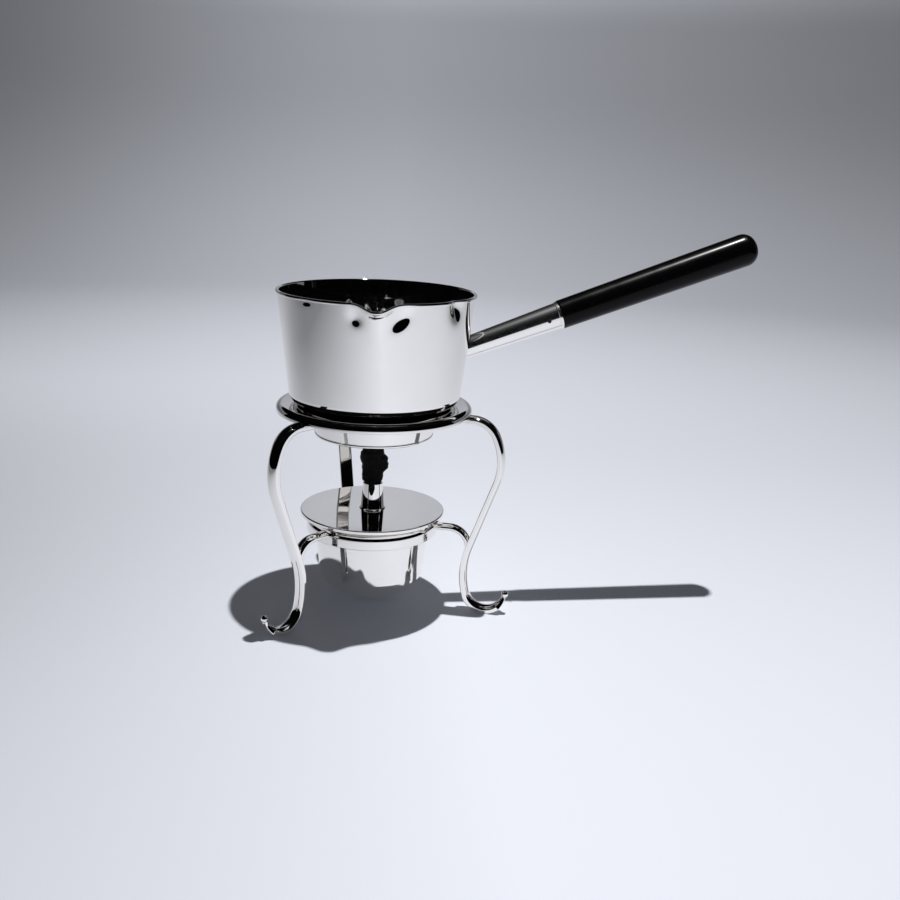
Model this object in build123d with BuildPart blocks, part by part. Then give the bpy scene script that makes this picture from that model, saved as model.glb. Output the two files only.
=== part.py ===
"""Brandy warmer: a lipped saucepan with a black side handle, resting on a
three-legged stand that carries a spirit burner below it.

Millimetres, +Z up. The origin is on the table, on the axis of the stand.
The pouring lip faces -Y, and the handle runs out along +X, swung a little
towards +Y.
"""
import os
from math import cos, radians, sin, tan

from build123d import *

os.makedirs("parts", exist_ok=True)

# ---------------------------------------------------------------- driving sizes
# stand: top plate and heat collar
PLATE_TOP = 103.0          # height of the face that the pan rests on
PLATE_SHEET = 1.0
PLATE_SKIRT = 4.1          # depth of the turned-down edge
PLATE_OPENING = 29.6       # radius of the hole for the flame
PLATE_EDGE = 2.3           # rounding of the outer edge
COLLAR_DROP = 14.4         # from the plate's top face to the collar's foot
COLLAR_HEAD = 31.8         # outer radius of the wall under the plate
COLLAR_FOOT = 29.9         # outer radius of the wall at its foot
COLLAR_SHEET = 0.8
COLLAR_FLANGE = 36.5       # radius of the flange under the plate
COLLAR_BEAD = 0.75         # radius of the rolled foot

# stand: legs of half-round bar
LEG_COUNT = 3
LEG_ANGLE = -14.7          # degrees from +X to the first leg
LEG_WIDTH = 6.8
LEG_THICK = 3.6
LEG_DOME = 1.5             # rise of the bar's rounded face
LEG_ARRIS = 0.3            # rounding of the bar's corners
SOLDER_FLAT = 0.2          # depth of the flat where a leg meets the plate
FOOT_FLAT = 0.12           # depth of the flat that stands on the table
SHELF_REACH = 6.75         # beyond the plate's edge, where the leg starts to bend
SHOULDER_BEND, SHOULDER_ANGLE = 8.0, 70.0
FLANK_BEND, FLANK_ANGLE = 37.0, 39.5
CALF_BEND, CALF_ANGLE = 41.0, 35.0
FOOT_BEND, FOOT_ANGLE = 10.0, 149.0
NECK_ANGLE = 34.0           # last part of the foot's bend, where the bar tapers
NECK_RADIUS = 1.0
BALL_RADIUS = 1.75

# stand: burner ring and its arms
RING_TOP = 45.4
RING_HEIGHT = 7.4
RING_SHEET = 1.2
RING_SEAT = 2.4            # from the ring's bore to the inside of its wall
RING_EDGE = 2.8            # rounding of the outer edge
ARM_WIDTH = 5.6
ARM_THICK = 2.8
ARM_DROP = 2.3             # from the ring's top to the arm's centre line
ARM_BEND, ARM_ANGLE = 9.5, 85.0
ARM_MEET = 1.6             # end of the arm's bend, inside the leg's centre line

# burner
CUP_RADIUS = 28.4          # outer radius of the mouth
CUP_FOOT = 25.0            # outer radius at the base, before its rounding
CUP_MOUTH = 7.0            # depth of the straight mouth, from the flange's top
CUP_DEPTH = 39.0           # from the flange's top to the underside
CUP_SHEET = 1.0
CUP_CORNER = 6.0
CUP_FLANGE = 34.6
FLANGE_THICK = 1.6
SEAT_CLEARANCE = 0.5       # cup in the ring, on the radius
FLANGE_EDGE = 0.4
LID_RADIUS = 35.6
LID_THICK = 1.8
LID_EDGE = 0.5
PLUG_DEPTH = 5.5
PLUG_SHEET = 0.9
PLUG_CLEARANCE = 0.08      # plug in the cup's mouth, on the radius
TUBE_RADIUS = 5.8          # at the lid and below
TUBE_END = 4.9             # at the tube's top
TUBE_SHEET = 0.8           # at the tube's top
TUBE_RISE = 13.4           # above the lid
TUBE_DROP = 9.0            # below the lid's underside
WICK_CLEARANCE = 0.08      # wick in its tube, on the radius
TAIL_RADIUS = 3.6          # wick where it hangs in the fuel
TAIL_BEND = 8.0
TAIL_GAP = 1.2             # tail above the cup's floor
CHAR_GAP = 0.4             # char above the tube's end

# pan
PAN_HEIGHT = 53.8
PAN_RIM = 47.5             # outermost radius, on the bead
PAN_BEAD = 1.5             # height of the bead round the rim
PAN_BEAD_RISE = 0.5        # of the bead, outside the wall
PAN_FOOT_WALL = 41.5       # outer radius of the wall above its rounded corner
PAN_CORNER = 5.5
PAN_SHEET = 1.1
LIP_WIDTH = 19.0
LIP_REACH = 6.6            # beyond the wall
LIP_DEPTH = 19.0           # how far the lip runs down the wall
LIP_DIP = 3.2              # how far its tip lies below the rim
LIP_ROOT = 1.6             # half width at the lip's lower end

# handle
HANDLE_ANGLE = 20.0        # degrees above level
HANDLE_SWING = 6.0         # degrees from +X towards +Y, seen from above
HANDLE_HEIGHT = 26.9       # of the axis at the wall, above the pan's base
SOCKET_LENGTH = 48.8
SOCKET_ROOT = 5.2
SOCKET_END = 6.55
SOCKET_SHEET = 0.8
SOCKET_BAND = 1.6          # length of the raised band at the socket's end
SOCKET_BAND_RISE = 0.2
GRIP_LENGTH = 104.0
GRIP_ROOT = 7.05
GRIP_END = 8.15
GRIP_DOME = 6.4            # rounding of the grip's far end
TENON_LENGTH = 17.0
TENON_CLEARANCE = 0.05
PIN_RADIUS = 0.9
PIN_INSET = 7.0            # from the socket's end
PIN_HEAD = 0.35

# ------------------------------------------------------------- worked-out sizes
PLATE_RADIUS = PAN_RIM     # the plate is as wide as the pan
SKIRT_FOOT = PLATE_TOP - PLATE_SKIRT
COLLAR_TOP = PLATE_TOP - PLATE_SHEET
COLLAR_BASE = PLATE_TOP - COLLAR_DROP
RING_FOOT = RING_TOP - RING_HEIGHT
SEAT_RADIUS = CUP_RADIUS + SEAT_CLEARANCE
RING_RADIUS = SEAT_RADIUS + RING_SEAT + RING_SHEET
FLANGE_TOP = RING_TOP + FLANGE_THICK
LID_TOP = FLANGE_TOP + LID_THICK
CUP_BASE = FLANGE_TOP - CUP_DEPTH
CUP_FLOOR = CUP_BASE + CUP_SHEET
MOUTH_FOOT = FLANGE_TOP - CUP_MOUTH
MOUTH_BORE = CUP_RADIUS - CUP_SHEET
PLUG_RADIUS = MOUTH_BORE - PLUG_CLEARANCE
TUBE_TOP = LID_TOP + TUBE_RISE
TUBE_BASE = FLANGE_TOP - TUBE_DROP
TUBE_BORE = TUBE_END - TUBE_SHEET
WICK_RADIUS = TUBE_BORE - WICK_CLEARANCE
PAN_BASE = PLATE_TOP
PAN_TOP = PAN_BASE + PAN_HEIGHT
PAN_TOP_WALL = PAN_RIM - PAN_BEAD_RISE
PAN_TAPER = (PAN_TOP_WALL - PAN_FOOT_WALL) / (PAN_HEIGHT - PAN_CORNER)


def pan_wall(height):
    """Outer radius of the pan's wall at a height above its base."""
    return PAN_FOOT_WALL + PAN_TAPER * (height - PAN_CORNER)


def export(part, name):
    part.label = name
    export_step(part, f"parts/{name}.step")


# ------------------------------------------------------------------- top plate
with BuildPart() as top_plate:
    with BuildSketch(Plane.XZ):
        with BuildLine():
            Polyline(
                (PLATE_OPENING, PLATE_TOP),
                (PLATE_RADIUS, PLATE_TOP),
                (PLATE_RADIUS, SKIRT_FOOT),
                (PLATE_RADIUS - PLATE_SHEET, SKIRT_FOOT),
                (PLATE_RADIUS - PLATE_SHEET, COLLAR_TOP),
                (PLATE_OPENING, COLLAR_TOP),
                close=True,
            )
        make_face()
        crown, skirt = vertices().group_by(Axis.Y)[-1], vertices().group_by(Axis.Y)[-2]
        fillet(crown.sort_by(Axis.X)[-1], PLATE_EDGE)
        fillet(skirt.sort_by(Axis.X)[-1], PLATE_EDGE - PLATE_SHEET)
    revolve(axis=Axis.Z)
export(top_plate.part, "top_plate")

# ----------------------------------------------------------------- heat collar
with BuildPart() as heat_collar:
    with BuildSketch(Plane.XZ):
        with BuildLine():
            bead_height = COLLAR_BASE + COLLAR_BEAD
            Polyline(
                (COLLAR_FLANGE, COLLAR_TOP),
                (COLLAR_HEAD - COLLAR_SHEET, COLLAR_TOP),
                (COLLAR_FOOT - COLLAR_SHEET, bead_height),
                (COLLAR_FOOT, bead_height),
                (COLLAR_HEAD, COLLAR_TOP - COLLAR_SHEET),
                (COLLAR_FLANGE, COLLAR_TOP - COLLAR_SHEET),
                close=True,
            )
        make_face()
        with Locations((COLLAR_FOOT - COLLAR_SHEET / 2, bead_height)):
            Circle(COLLAR_BEAD)
    revolve(axis=Axis.Z)
export(heat_collar.part, "heat_collar")


# ------------------------------------------------------------------------ legs
def bar_section(plane, width, thick):
    """Half-round section: flat on its -Y side, domed on its +Y side."""
    with BuildSketch(plane) as section:
        with BuildLine():
            Polyline(
                (-width / 2, thick / 2 - LEG_DOME),
                (-width / 2, -thick / 2),
                (width / 2, -thick / 2),
                (width / 2, thick / 2 - LEG_DOME),
            )
            ThreePointArc(
                (width / 2, thick / 2 - LEG_DOME),
                (0, thick / 2),
                (-width / 2, thick / 2 - LEG_DOME),
            )
        make_face()
        fillet(vertices().group_by(Axis.Y)[0], LEG_ARRIS)
    return section.sketch


def section_plane(path, at, side):
    """Plane across a path, with X along the bar's width."""
    return Plane(origin=path @ at, x_dir=side, z_dir=path % at)


def drop(radius, heading, turn):
    """Height lost on a bend, where a turn to the left is positive."""
    sense = 1 if turn > 0 else -1
    return sense * radius * (cos(radians(heading + turn)) - cos(radians(heading)))


leg_top = SKIRT_FOOT + SOLDER_FLAT - LEG_THICK / 2
leg_bottom = LEG_THICK / 2 - FOOT_FLAT
flank_heading = -SHOULDER_ANGLE - FLANK_ANGLE
calf_heading = flank_heading + CALF_ANGLE
bends_drop = (
    drop(SHOULDER_BEND, 0, -SHOULDER_ANGLE)
    + drop(FLANK_BEND, -SHOULDER_ANGLE, -FLANK_ANGLE)
    + drop(CALF_BEND, flank_heading, CALF_ANGLE)
    + drop(FOOT_BEND, calf_heading, -calf_heading)
)
leg_straight = (leg_top - leg_bottom - bends_drop) / -sin(radians(flank_heading))


def leg_plane(angle):
    """Upright plane through the axis: X runs outwards and Y runs up."""
    return Plane(
        origin=(0, 0, 0),
        x_dir=(cos(radians(angle)), sin(radians(angle)), 0),
        z_dir=(sin(radians(angle)), -cos(radians(angle)), 0),
    )


legs = {}
for name, turn in (("leg_right", 0), ("leg_back", 1), ("leg_front_left", 2)):
    plane = leg_plane(LEG_ANGLE + turn * 360 / LEG_COUNT)
    side = -plane.z_dir  # so that the bar's domed face looks outwards
    with BuildPart() as leg:
        with BuildLine(plane) as spine:
            shelf = Line((COLLAR_FOOT - COLLAR_BEAD, leg_top), (PLATE_RADIUS + SHELF_REACH, leg_top))
            shoulder = JernArc(shelf @ 1, shelf % 1, SHOULDER_BEND, -SHOULDER_ANGLE)
            flank = JernArc(shoulder @ 1, shoulder % 1, FLANK_BEND, -FLANK_ANGLE)
            shin = Line(flank @ 1, (flank @ 1) + (flank % 1) * leg_straight)
            calf = JernArc(shin @ 1, shin % 1, CALF_BEND, CALF_ANGLE)
            foot = JernArc(calf @ 1, calf % 1, FOOT_BEND, FOOT_ANGLE - NECK_ANGLE)
        sweep(bar_section(section_plane(shelf, 0, side), LEG_WIDTH, LEG_THICK),
              path=spine.wires()[0])

        # the bar narrows towards the ball at its tip
        with BuildLine(plane, mode=Mode.PRIVATE) as tip:
            neck = JernArc(foot @ 1, foot % 1, FOOT_BEND, NECK_ANGLE)
        with BuildSketch(section_plane(neck, 1, side), mode=Mode.PRIVATE) as neck_end:
            Circle(NECK_RADIUS)
        loft([bar_section(section_plane(neck, 0, side), LEG_WIDTH, LEG_THICK), neck_end.sketch])
        with Locations(neck @ 1 + (neck % 1) * (BALL_RADIUS - SOLDER_FLAT)):
            Sphere(BALL_RADIUS)

        # flats under the plate and on the table, and the end on the collar
        with Locations((0, 0, SKIRT_FOOT)):
            Cylinder(PLATE_RADIUS, PLATE_SKIRT, align=(Align.CENTER, Align.CENTER, Align.MIN),
                     mode=Mode.SUBTRACT)
        Cylinder(2 * PLATE_RADIUS, LEG_THICK, align=(Align.CENTER, Align.CENTER, Align.MAX),
                 mode=Mode.SUBTRACT)
        with Locations((0, 0, COLLAR_BASE + COLLAR_BEAD)):
            Cone(COLLAR_FOOT, COLLAR_HEAD, COLLAR_TOP - COLLAR_SHEET - COLLAR_BASE - COLLAR_BEAD,
                 align=(Align.CENTER, Align.CENTER, Align.MIN), mode=Mode.SUBTRACT)
    export(leg.part, name)
    legs[name] = (plane, leg.part, (flank @ 1))

# ----------------------------------------------------------------- burner ring
with BuildPart() as burner_ring:
    with BuildSketch(Plane.XZ):
        with BuildLine():
            Polyline(
                (SEAT_RADIUS, RING_TOP),
                (RING_RADIUS, RING_TOP),
                (RING_RADIUS, RING_FOOT),
                (RING_RADIUS - RING_SHEET, RING_FOOT),
                (RING_RADIUS - RING_SHEET, RING_TOP - RING_SHEET),
                (SEAT_RADIUS, RING_TOP - RING_SHEET),
                close=True,
            )
        make_face()
        crown, wall = vertices().group_by(Axis.Y)[-1], vertices().group_by(Axis.Y)[-2]
        fillet(crown.sort_by(Axis.X)[-1], RING_EDGE)
        fillet(wall.sort_by(Axis.X)[-1], RING_EDGE - RING_SHEET)
    revolve(axis=Axis.Z)
export(burner_ring.part, "burner_ring")

# ----------------------------------------------------------------- burner arms
arm_height = RING_TOP - ARM_DROP
arm_foot = arm_height - ARM_BEND * (1 - cos(radians(ARM_ANGLE)))
for leg_name, (plane, leg_part, knee) in legs.items():
    side = -plane.z_dir
    # the bend starts where its end comes to the leg's straight shin
    shin_radius = knee.dot(plane.x_dir) + (arm_foot - knee.Z) / tan(radians(flank_heading))
    arm_reach = shin_radius - ARM_MEET - ARM_BEND * sin(radians(ARM_ANGLE))
    with BuildPart() as arm:
        with BuildLine(plane) as spine:
            shelf = Line((RING_RADIUS - RING_SHEET / 2, arm_height), (arm_reach, arm_height))
            bend = JernArc(shelf @ 1, shelf % 1, ARM_BEND, -ARM_ANGLE)
            Line(bend @ 1, (bend @ 1) + (bend % 1) * ARM_BEND)
        sweep(bar_section(section_plane(shelf, 0, side), ARM_WIDTH, ARM_THICK),
              path=spine.wires()[0])
        # the arm stops inside the leg's thickness, and then at its inner face
        shin_out = plane.x_dir * -sin(radians(flank_heading)) + Vector(0, 0, cos(radians(flank_heading)))
        split(bisect_by=Plane(origin=knee, z_dir=shin_out), keep=Keep.BOTTOM)
        add(leg_part, mode=Mode.SUBTRACT)
        add(burner_ring.part, mode=Mode.SUBTRACT)
    export(arm.part, leg_name.replace("leg", "arm"))

# ------------------------------------------------------------------ burner cup
with BuildPart() as burner_cup:
    with BuildSketch(Plane.XZ):
        with BuildLine():
            Polyline(
                (0, CUP_BASE),
                (CUP_FOOT, CUP_BASE),
                (CUP_RADIUS, MOUTH_FOOT),
                (CUP_RADIUS, RING_TOP),
                (CUP_FLANGE, RING_TOP),
                (CUP_FLANGE, FLANGE_TOP),
                (0, FLANGE_TOP),
                close=True,
            )
        make_face()
        fillet(vertices().group_by(Axis.Y)[0].sort_by(Axis.X)[-1], CUP_CORNER)
        fillet(vertices().group_by(Axis.X)[-1], FLANGE_EDGE)
    revolve(axis=Axis.Z)
    with BuildSketch(Plane.XZ):
        with BuildLine():
            Polyline(
                (0, CUP_FLOOR),
                (CUP_FOOT - CUP_SHEET, CUP_FLOOR),
                (MOUTH_BORE, MOUTH_FOOT),
                (MOUTH_BORE, FLANGE_TOP),
                (0, FLANGE_TOP),
                close=True,
            )
        make_face()
        fillet(vertices().group_by(Axis.Y)[0].sort_by(Axis.X)[-1], CUP_CORNER - CUP_SHEET)
    revolve(axis=Axis.Z, mode=Mode.SUBTRACT)
export(burner_cup.part, "burner_cup")

# ---------------------------------------------------------------- lid and tube
with BuildPart() as burner_lid:
    with Locations((0, 0, FLANGE_TOP)):
        Cylinder(LID_RADIUS, LID_THICK, align=(Align.CENTER, Align.CENTER, Align.MIN))
    fillet(edges().group_by(Axis.Z)[-1], LID_EDGE)
    Cylinder(TUBE_RADIUS, 2 * LID_TOP, mode=Mode.SUBTRACT)
export(burner_lid.part, "burner_lid")

with BuildPart() as lid_plug:
    with Locations((0, 0, FLANGE_TOP)):
        Cylinder(PLUG_RADIUS, PLUG_DEPTH, align=(Align.CENTER, Align.CENTER, Align.MAX))
        Cylinder(PLUG_RADIUS - PLUG_SHEET, PLUG_DEPTH, align=(Align.CENTER, Align.CENTER, Align.MAX),
                 mode=Mode.SUBTRACT)
    chamfer(edges().group_by(Axis.Z)[0].sort_by(SortBy.LENGTH)[-1], PLUG_SHEET / 3)
export(lid_plug.part, "lid_plug")

with BuildPart() as wick_tube:
    with BuildSketch(Plane.XZ):
        with BuildLine():
            Polyline(
                (TUBE_BORE, TUBE_BASE),
                (TUBE_RADIUS, TUBE_BASE),
                (TUBE_RADIUS, LID_TOP),
                (TUBE_END, TUBE_TOP),
                (TUBE_BORE, TUBE_TOP),
                close=True,
            )
        make_face()
        fillet(vertices().group_by(Axis.Y)[-1].sort_by(Axis.X)[-1], TUBE_SHEET / 3)
    revolve(axis=Axis.Z)
export(wick_tube.part, "wick_tube")

# ------------------------------------------------------------------------ wick
# lumps of char: height above the tube, offset along X and Y, and half widths
CHAR = (
    (0.0, -0.2, 0.0, 4.4, 4.3),
    (1.5, -0.4, -0.3, 5.0, 5.0),
    (4.8, -0.3, -0.2, 5.2, 5.0),
    (7.8, 0.9, 0.0, 6.5, 5.6),
    (12.0, 0.5, -0.1, 6.7, 5.7),
    (14.2, -0.5, 0.1, 5.8, 5.2),
    (16.6, 0.1, 0.2, 5.0, 4.6),
    (18.0, 0.1, 0.2, 3.4, 3.2),
)
with BuildPart() as wick:
    char_base = TUBE_TOP + CHAR_GAP
    tail_height = CUP_FLOOR + TAIL_GAP + TAIL_RADIUS
    with Locations((0, 0, TUBE_BASE)):
        Cylinder(WICK_RADIUS, char_base - TUBE_BASE, align=(Align.CENTER, Align.CENTER, Align.MIN))
    for height, x, y, half_x, half_y in CHAR:
        with BuildSketch(Plane.XY.offset(char_base + height)):
            with Locations((x, y)):
                Ellipse(half_x, half_y)
    loft()
    with BuildLine(Plane.XZ) as tail:
        hang = Line((0, TUBE_BASE), (0, tail_height + TAIL_BEND))
        JernArc(hang @ 1, hang % 1, TAIL_BEND, 90)
    with BuildSketch(Plane.XY.offset(TUBE_BASE)):
        Circle(TAIL_RADIUS)
    sweep(path=tail.wires()[0])
export(wick.part, "wick")

# ------------------------------------------------------------------------- pan
def pan_form(inset, rim, rise):
    """The pan's wall and lip as a solid: drawn in by an inset, with a rim of
    its own radius, and carried on above the pan's top by a rise."""
    top = PAN_TOP + rise
    with BuildPart() as form:
        with BuildSketch(Plane.XZ):
            with BuildLine():
                Polyline(
                    (0, PAN_BASE + inset),
                    (pan_wall(inset) - inset, PAN_BASE + inset),
                    (pan_wall(PAN_HEIGHT - PAN_BEAD) - inset, PAN_TOP - PAN_BEAD),
                    (rim, PAN_TOP - PAN_BEAD),
                    (rim, top),
                    (0, top),
                    close=True,
                )
            make_face()
            fillet(vertices().group_by(Axis.Y)[0].sort_by(Axis.X)[-1], PAN_CORNER - inset)
        revolve(axis=Axis.Z)
        # the lip is half of a cone that opens upwards from the wall
        root = PAN_HEIGHT - LIP_DEPTH
        spread = (LIP_DEPTH + rise) / LIP_DEPTH
        root_y = LIP_ROOT + inset - pan_wall(root)
        mouth_y = LIP_WIDTH / 2 - PAN_TOP_WALL - LIP_REACH
        with BuildSketch(Plane.XY.offset(PAN_BASE + root)):
            with Locations((0, root_y)):
                Circle(LIP_ROOT)
        with BuildSketch(Plane.XY.offset(top)):
            with Locations((0, root_y + (mouth_y - root_y) * spread)):
                Circle(LIP_ROOT + (LIP_WIDTH / 2 - inset - LIP_ROOT) * spread)
        loft(ruled=True)
    return form.part


with BuildPart() as pan_body:
    add(pan_form(0, PAN_RIM, 0))
    add(pan_form(PAN_SHEET, PAN_TOP_WALL - PAN_SHEET, 1), mode=Mode.SUBTRACT)
    # the lip's edge falls away towards its tip
    with BuildSketch(Plane.YZ):
        with BuildLine():
            start = PAN_RIM - LIP_WIDTH / 4
            end = PAN_RIM + LIP_REACH
            Polyline(
                (-start, PAN_TOP),
                (-end, PAN_TOP - LIP_DIP),
                (-end - LIP_REACH, PAN_TOP - LIP_DIP),
                (-end - LIP_REACH, PAN_TOP + LIP_DIP),
                (-start, PAN_TOP + LIP_DIP),
                close=True,
            )
        make_face()
    extrude(amount=LIP_WIDTH, both=True, mode=Mode.SUBTRACT)
export(pan_body.part, "pan_body")

# ---------------------------------------------------------------------- handle
handle_out = Vector(cos(radians(HANDLE_SWING)), sin(radians(HANDLE_SWING)), 0)
handle_across = Vector(sin(radians(HANDLE_SWING)), -cos(radians(HANDLE_SWING)), 0)
handle_root = handle_out * pan_wall(HANDLE_HEIGHT) + Vector(0, 0, PAN_BASE + HANDLE_HEIGHT)
handle_along = handle_out * cos(radians(HANDLE_ANGLE)) + Vector(0, 0, sin(radians(HANDLE_ANGLE)))
# X of this plane runs along the handle, and Y runs across it, upwards
handle_plane = Plane(origin=handle_root, x_dir=handle_along, z_dir=handle_across)
handle_axis = Axis(handle_root, handle_along)
SOCKET_TAPER = (SOCKET_END - SOCKET_ROOT) / SOCKET_LENGTH
buried = 2 * SOCKET_ROOT * tan(radians(HANDLE_ANGLE))


def socket_bore(along):
    return SOCKET_ROOT + SOCKET_TAPER * along - SOCKET_SHEET


with BuildPart() as handle_socket:
    with BuildSketch(handle_plane):
        with BuildLine():
            Polyline(
                (-buried, socket_bore(-buried)),
                (-buried, socket_bore(-buried) + SOCKET_SHEET),
                (SOCKET_LENGTH, SOCKET_END),
                (SOCKET_LENGTH, socket_bore(SOCKET_LENGTH)),
                close=True,
            )
        make_face()
        with BuildLine():
            Polyline(
                (SOCKET_LENGTH - SOCKET_BAND, SOCKET_END - SOCKET_SHEET / 2),
                (SOCKET_LENGTH - SOCKET_BAND, SOCKET_END + SOCKET_BAND_RISE),
                (SOCKET_LENGTH, SOCKET_END + SOCKET_BAND_RISE),
                (SOCKET_LENGTH, SOCKET_END - SOCKET_SHEET / 2),
                close=True,
            )
        make_face()
    revolve(axis=handle_axis)
    with BuildPart(mode=Mode.PRIVATE) as wall:
        with Locations((0, 0, PAN_BASE + PAN_CORNER)):
            Cone(PAN_FOOT_WALL, PAN_TOP_WALL, PAN_HEIGHT - PAN_CORNER,
                 align=(Align.CENTER, Align.CENTER, Align.MIN))
    add(wall.part, mode=Mode.SUBTRACT)
    with BuildSketch(handle_plane):
        with Locations((SOCKET_LENGTH - PIN_INSET, 0)):
            Circle(PIN_RADIUS)
    extrude(amount=2 * SOCKET_END, both=True, mode=Mode.SUBTRACT)
export(handle_socket.part, "handle_socket")

with BuildPart() as handle_grip:
    tenon_start = SOCKET_LENGTH - TENON_LENGTH
    with BuildSketch(handle_plane):
        with BuildLine():
            Polyline(
                (tenon_start, 0),
                (tenon_start, socket_bore(tenon_start) - TENON_CLEARANCE),
                (SOCKET_LENGTH, socket_bore(SOCKET_LENGTH) - TENON_CLEARANCE),
                (SOCKET_LENGTH, GRIP_ROOT),
                (SOCKET_LENGTH + GRIP_LENGTH, GRIP_END),
                (SOCKET_LENGTH + GRIP_LENGTH, 0),
                close=True,
            )
        make_face()
    revolve(axis=handle_axis)
    fillet(edges().filter_by(GeomType.CIRCLE).sort_by(handle_axis)[-1], GRIP_DOME)
    with BuildSketch(handle_plane):
        with Locations((SOCKET_LENGTH - PIN_INSET, 0)):
            Circle(PIN_RADIUS)
    extrude(amount=2 * SOCKET_END, both=True, mode=Mode.SUBTRACT)
export(handle_grip.part, "handle_grip")

with BuildPart() as handle_pin:
    with BuildSketch(handle_plane):
        with Locations((SOCKET_LENGTH - PIN_INSET, 0)):
            Circle(PIN_RADIUS)
    extrude(amount=SOCKET_END + PIN_HEAD, both=True)
    pin_axis = Axis(handle_root, handle_across)
    fillet(edges().group_by(pin_axis)[0] + edges().group_by(pin_axis)[-1], PIN_RADIUS / 2)
export(handle_pin.part, "handle_pin")
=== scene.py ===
"""Dressed model of a brandy warmer: a lipped, silver-plated saucepan with a
black side handle, on a three-legged stand with a spirit burner under it.

A piece is shaped in millimetres and turned to metres when it is finished.
+Z is up, the origin is on the table at the stand's axis, and the pouring lip
faces -Y. Angles are written in degrees.
"""
import math

import bmesh
import bpy
from mathutils import Matrix, Vector, noise


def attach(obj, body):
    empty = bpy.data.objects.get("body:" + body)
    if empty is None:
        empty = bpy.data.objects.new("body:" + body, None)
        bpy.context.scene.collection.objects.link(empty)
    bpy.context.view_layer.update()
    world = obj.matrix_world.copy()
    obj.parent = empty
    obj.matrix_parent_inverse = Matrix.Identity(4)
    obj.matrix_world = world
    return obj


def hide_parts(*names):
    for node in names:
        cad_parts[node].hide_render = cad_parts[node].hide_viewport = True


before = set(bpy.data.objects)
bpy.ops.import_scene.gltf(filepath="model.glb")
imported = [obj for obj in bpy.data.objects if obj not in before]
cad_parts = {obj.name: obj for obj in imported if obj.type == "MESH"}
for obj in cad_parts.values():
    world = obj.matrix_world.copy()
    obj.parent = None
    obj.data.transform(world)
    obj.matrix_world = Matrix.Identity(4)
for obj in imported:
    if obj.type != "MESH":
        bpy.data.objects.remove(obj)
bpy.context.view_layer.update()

MM = 0.001
UP = Vector((0, 0, 1))


# ------------------------------------------------------------------- finishes
def linear(code):
    """An sRGB hex colour as the linear colour that a shader takes."""
    parts = [int(code[i:i + 2], 16) / 255 for i in (1, 3, 5)]
    return (*(c / 12.92 if c <= 0.04045 else ((c + 0.055) / 1.055) ** 2.4 for c in parts), 1.0)


def add_node(tree, kind, settings=None, inputs=None):
    """Add a node with its settings, and with a value or a link on its inputs."""
    node = tree.nodes.new("ShaderNode" + kind)
    for name, value in (settings or {}).items():
        setattr(node, name, value)
    for name, value in (inputs or {}).items():
        if isinstance(value, bpy.types.NodeSocket):
            tree.links.new(value, node.inputs[name])
        else:
            node.inputs[name].default_value = value
    return node


def new_finish(name):
    """A finish with its shader and the coordinates that its patterns read."""
    finish = bpy.data.materials.new(name)
    finish.use_nodes = True
    tree = finish.node_tree
    place = add_node(tree, "TexCoord").outputs["Object"]
    return finish, tree, tree.nodes["Principled BSDF"], place


def silver_plate(name, rubbed=0.0):
    """Silver plate over nickel silver, buffed to a mirror. The eye sees sharp
    reflections of a pale table and a dark room, faintly hazed by wiping."""
    finish, tree, shader, place = new_finish(name)
    # wiping haze in patches of about 12 mm
    haze = add_node(tree, "TexNoise", inputs={
        "Vector": place, "Scale": 1 / (12 * MM), "Detail": 4.0})
    shine = add_node(tree, "MapRange", inputs={
        "Value": haze.outputs["Fac"], "From Min": 0.35, "From Max": 0.75,
        "To Min": 0.025, "To Max": 0.06})
    tone = add_node(tree, "Mix", {"data_type": "RGBA"}, {
        0: haze.outputs["Fac"], 6: linear("#F8F6F4"), 7: linear("#F1EEE9")})
    # hairlines of the buffing wheel, really 0.01 mm apart, drawn 0.25 mm apart
    # so that they show
    grain = add_node(tree, "Mapping", inputs={"Vector": place, "Scale": (1.0, 1.0, 9.0)})
    hairline = add_node(tree, "TexNoise", inputs={
        "Vector": grain.outputs["Vector"], "Scale": 1 / (2.2 * MM), "Detail": 3.0})
    relief = add_node(tree, "Bump", inputs={
        "Height": hairline.outputs["Fac"], "Strength": 0.25, "Distance": 0.002 * MM})
    shader.inputs["Metallic"].default_value = 1.0
    # old lacquer, finely scratched where hands rub it, draws the lamp out into
    # a soft streak
    shader.inputs["Coat Weight"].default_value = rubbed
    shader.inputs["Coat Roughness"].default_value = 0.38
    shader.inputs["Coat IOR"].default_value = 1.8
    tree.links.new(tone.outputs[2], shader.inputs["Base Color"])
    tree.links.new(shine.outputs["Result"], shader.inputs["Roughness"])
    tree.links.new(relief.outputs["Normal"], shader.inputs["Normal"])
    return finish


def dark_pin_metal():
    """Dark grey metal at the end of the pin, much darker than the silver round it."""
    finish, tree, shader, place = new_finish("dark_grey_pin_end")
    # tone varies in grains of about 0.3 mm
    pin_grain = add_node(tree, "TexNoise", inputs={
        "Vector": place, "Scale": 1 / (0.3 * MM), "Detail": 3.0})
    tone = add_node(tree, "Mix", {"data_type": "RGBA"}, {
        0: pin_grain.outputs["Fac"], 6: linear("#1B1A19"), 7: linear("#3A3835")})
    shader.inputs["Metallic"].default_value = 1.0
    shader.inputs["Roughness"].default_value = 0.38
    tree.links.new(tone.outputs[2], shader.inputs["Base Color"])
    return finish


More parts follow.
